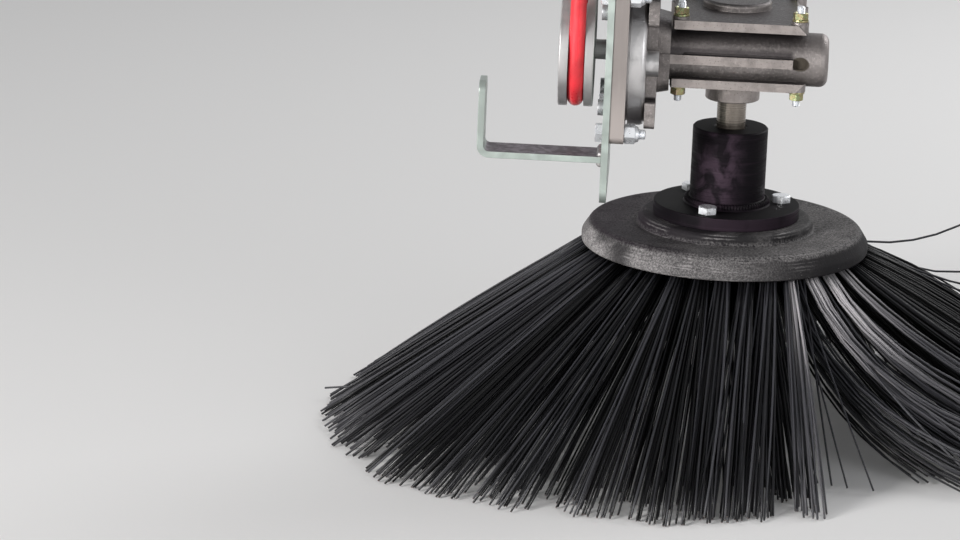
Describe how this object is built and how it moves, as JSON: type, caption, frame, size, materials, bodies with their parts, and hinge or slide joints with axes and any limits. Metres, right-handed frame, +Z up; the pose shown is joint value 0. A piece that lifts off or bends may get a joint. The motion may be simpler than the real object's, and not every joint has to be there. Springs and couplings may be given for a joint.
{
  "type": "sweeper side brush unit",
  "caption": "Round side brush with splayed bristles on a worm gearbox, belt driven, carried by a bolt-on plate.",
  "frame": {"origin": "centre of the four frame bolt holes, on the right face of the mounting plate", "axes": "+X from the pulleys to the gearbox, square to the plate; +Y to the back; +Z up along the brush shaft"},
  "size_m": [0.6092, 0.5806, 0.55],
  "materials": {
    "zinc_plate": "pale zinc plating, satin",
    "machined_aluminium": "milled, satin",
    "cast_aluminium": "sand cast, shot blasted, matt",
    "turned_aluminium": "turned, satin",
    "black_steel": "black oxide, satin with turning marks",
    "bright_steel": "ground shaft",
    "bright_zinc": "bright zinc plating",
    "yellow_zinc": "yellow passivated zinc plating",
    "cast_iron": "grey casting, painted",
    "red_belt": "smooth round belt, satin",
    "seal_rubber": "matt",
    "disc_plastic": "worn moulded plastic, dusty",
    "bristle": "black bristle, slight sheen"
  },
  "bodies": {
    "carrier": {"mounting_plate": "zinc_plate", "belt_guard_bracket": "zinc_plate", "bracket_weld_beads": "zinc_plate", "adaptor_plate": "machined_aluminium", "gearbox_bell": "cast_aluminium", "lug_flange": "cast_aluminium", "side_boss": "cast_aluminium", "gearbox_housing": "cast_aluminium", "output_cover": "cast_aluminium", "output_seal": "seal_rubber", "top_cover": "cast_aluminium", "filler_plug": "bright_zinc", "housing_studs": "yellow_zinc", "adaptor_bolts": "bright_zinc", "bearing_bolts": "bright_zinc", "plate_screws": "bright_zinc", "drive_bearing": "cast_iron", "drive_belt": "red_belt"},
    "input": {"input_shaft": "bright_steel", "input_pulley": "turned_aluminium"},
    "drive": {"drive_shaft": "bright_steel", "drive_pulley": "turned_aluminium"},
    "brush": {"output_shaft": "bright_steel", "hub_sleeve": "black_steel", "hub_weld": "black_steel", "hub_flange": "black_steel", "hub_bolts": "bright_zinc", "shaft_retainer": "bright_zinc", "brush_disc": "disc_plastic", "tufts_outer": "bristle", "tufts_middle": "bristle", "tufts_inner": "bristle"}
  },
  "joints": [
    {"name": "brush_spin", "type": "hinge", "parent": "carrier", "child": "brush", "pos_m": [0.0905, 0.04, -0.274], "axis": [0, 0, 1], "continuous": true},
    {"name": "input_spin", "type": "hinge", "parent": "carrier", "child": "input", "pos_m": [0, 0, -0.118], "axis": [1, 0, 0], "continuous": true},
    {"name": "drive_spin", "type": "hinge", "parent": "carrier", "child": "drive", "pos_m": [0, 0, 0.092], "axis": [1, 0, 0], "continuous": true}
  ],
  "couplings": [
    {"joint": "input_spin", "follows": "brush_spin", "ratio": 10},
    {"joint": "drive_spin", "follows": "brush_spin", "ratio": 10}
  ]
}
